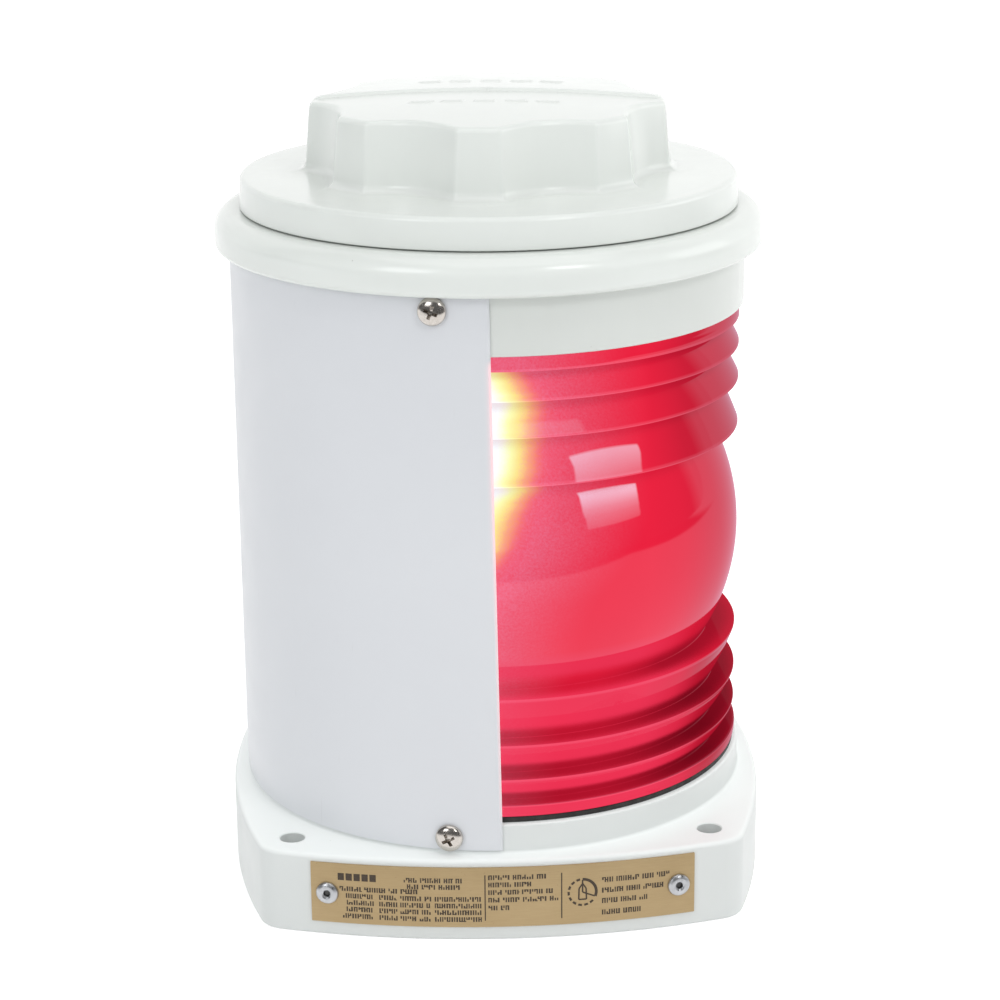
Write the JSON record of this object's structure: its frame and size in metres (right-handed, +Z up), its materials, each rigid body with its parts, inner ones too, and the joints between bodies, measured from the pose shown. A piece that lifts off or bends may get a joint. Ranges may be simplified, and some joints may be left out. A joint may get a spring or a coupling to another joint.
{
  "type": "port side navigation light",
  "caption": "Deck-mounted port side light with a red fluted drum lens, a wrap-around sector screen and a fluted screw cap.",
  "frame": {"origin": "centre of the base's underside, on the lens axis", "axes": "+Z up along the lens axis, -Y towards the nameplate side (dead ahead edge of the sector), +X towards the open, lit side"},
  "size_m": [0.143, 0.1435, 0.2066],
  "materials": {
    "white_base": "semi-gloss moulded",
    "white_top": "gloss moulded",
    "red_lens": "polished, coloured in the mass",
    "screen_paint": "satin white paint",
    "black_rubber": "matte",
    "stainless": "passivated",
    "gold_plate": "gold anodised, satin",
    "aluminium": "bright",
    "plated_steel": "zinc plated",
    "nickel_brass": "nickel plated",
    "brass": "bright",
    "phenolic": "laminated",
    "spring_steel": "bright drawn",
    "black_glass": "vitrified",
    "solder": "soft, domed",
    "clear_glass": "clear",
    "nickel_wire": "bright",
    "tungsten": "drawn",
    "black_insulation": "semi-matte",
    "white_insulation": "semi-matte",
    "connector_blue": "moulded"
  },
  "bodies": {
    "housing": {"base": "white_base", "lens_lower_gasket": "black_rubber", "lens": "red_lens", "lens_upper_gasket": "black_rubber", "collar": "white_top", "light_screen": "screen_paint", "screen_screws": "stainless", "nameplate": "gold_plate", "nameplate_rivets": "aluminium", "tie_screws": "stainless", "tie_washers": "stainless", "socket_bracket": "plated_steel", "bracket_screws": "stainless", "socket_shell": "nickel_brass", "socket_rivets": "brass", "socket_insulator": "phenolic", "contact_spring": "spring_steel", "lead_wire_black": "black_insulation", "lead_wire_white": "white_insulation", "wire_connectors": "connector_blue", "cable_grommet": "black_rubber"},
    "cap_carriage": {"cap_gasket": "black_rubber"},
    "cap": {"cap": "white_top"},
    "contact_carrier": {"contact_plate": "phenolic", "contact_plungers": "brass"},
    "lamp": {"lamp_base": "nickel_brass", "lamp_insulator": "black_glass", "lamp_contacts": "solder", "lamp_glass": "clear_glass", "lamp_stem": "clear_glass", "lamp_supports": "nickel_wire", "lamp_filament": "tungsten"}
  },
  "joints": [
    {"name": "cap_rise", "type": "slide", "parent": "housing", "child": "cap_carriage", "axis": [0, 0, 1], "range_m": [0, 0.012]},
    {"name": "cap_turn", "type": "hinge", "parent": "cap_carriage", "child": "cap", "pos_m": [0, 0, 0.18], "axis": [0, 0, 1], "range_deg": [0, 720]},
    {"name": "lamp_push", "type": "slide", "parent": "housing", "child": "contact_carrier", "axis": [0, 0, 1], "range_m": [-0.002, 0], "stiffness_N_per_m": 1500, "springref_m": 0.003, "deforming": ["contact_spring", "lead_wire_black", "lead_wire_white"]},
    {"name": "lamp_turn", "type": "hinge", "parent": "contact_carrier", "child": "lamp", "pos_m": [0, 0, 0.05925], "axis": [0, 0, 1], "range_deg": [0, 22]}
  ],
  "couplings": [
    {"joint": "cap_rise", "follows": "cap_turn", "m_per_rad": 0.00095493}
  ]
}
